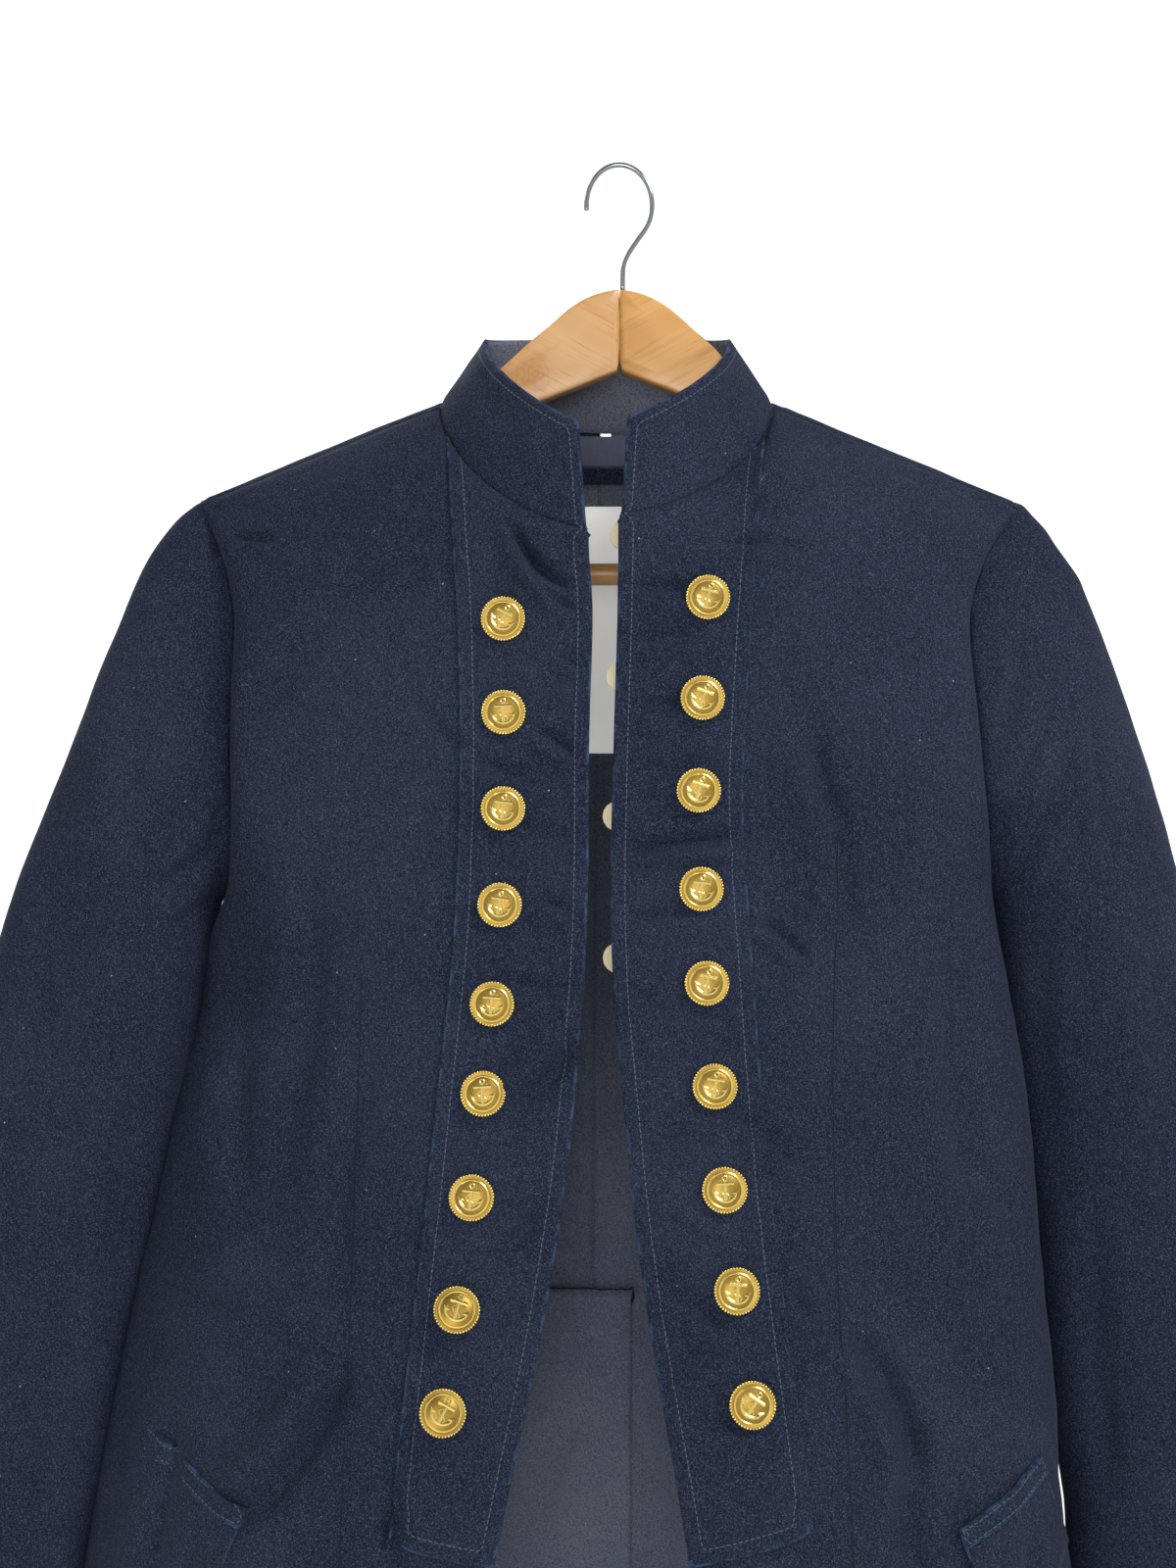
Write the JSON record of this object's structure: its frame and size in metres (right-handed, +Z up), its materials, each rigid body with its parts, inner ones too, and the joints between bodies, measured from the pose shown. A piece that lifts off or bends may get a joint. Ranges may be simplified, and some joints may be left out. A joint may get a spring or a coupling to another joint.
{
  "type": "military uniform jacket on a wooden hanger",
  "caption": "Navy stand-collar military jacket with two bands of gilt anchor buttons, hung open on a wooden suit hanger with a trouser bar and a steel hook.",
  "frame": {"origin": "inside top of the hanger's hook, where a rail carries it", "axes": "+Z up, the buttoned front faces -Y, +X to the right of someone looking at the front"},
  "size_m": [0.748, 0.2093, 0.8733],
  "materials": {
    "navy_cotton_twill": "matte washed cotton twill",
    "grey_lining_cloth": "matte plain weave",
    "white_label_tape": "bare woven tape",
    "olive_horn": "dull polished horn",
    "gilt_brass": "bright gilt, stamped",
    "varnished_oak": "clear varnish",
    "chromed_steel": "polished"
  },
  "bodies": {
    "root": {"back_left": "navy_cotton_twill", "front_left": "navy_cotton_twill", "band_left": "navy_cotton_twill", "skirt_left": "navy_cotton_twill", "sleeve_left": "navy_cotton_twill", "pocket_flap_left": "navy_cotton_twill", "pocket_welt_left": "navy_cotton_twill", "hanger_arm_left": "varnished_oak", "bar_post_left": "chromed_steel", "button_left_1": "gilt_brass", "button_left_2": "gilt_brass", "button_left_3": "gilt_brass", "button_left_4": "gilt_brass", "button_left_5": "gilt_brass", "button_left_6": "gilt_brass", "button_left_7": "gilt_brass", "button_left_8": "gilt_brass", "button_left_9": "gilt_brass", "back_right": "navy_cotton_twill", "front_right": "navy_cotton_twill", "band_right": "navy_cotton_twill", "skirt_right": "navy_cotton_twill", "sleeve_right": "navy_cotton_twill", "pocket_flap_right": "navy_cotton_twill", "pocket_welt_right": "navy_cotton_twill", "hanger_arm_right": "varnished_oak", "bar_post_right": "chromed_steel", "button_right_1": "gilt_brass", "button_right_2": "gilt_brass", "button_right_3": "gilt_brass", "button_right_4": "gilt_brass", "button_right_5": "gilt_brass", "button_right_6": "gilt_brass", "button_right_7": "gilt_brass", "button_right_8": "gilt_brass", "button_right_9": "gilt_brass", "inner_button_1": "olive_horn", "inner_button_2": "olive_horn", "inner_button_3": "olive_horn", "inner_button_4": "olive_horn", "collar": "navy_cotton_twill", "neck_facing": "grey_lining_cloth", "hanging_loop": "navy_cotton_twill", "label": "white_label_tape", "trouser_bar": "varnished_oak", "hook": "chromed_steel"}
  },
  "joints": []
}
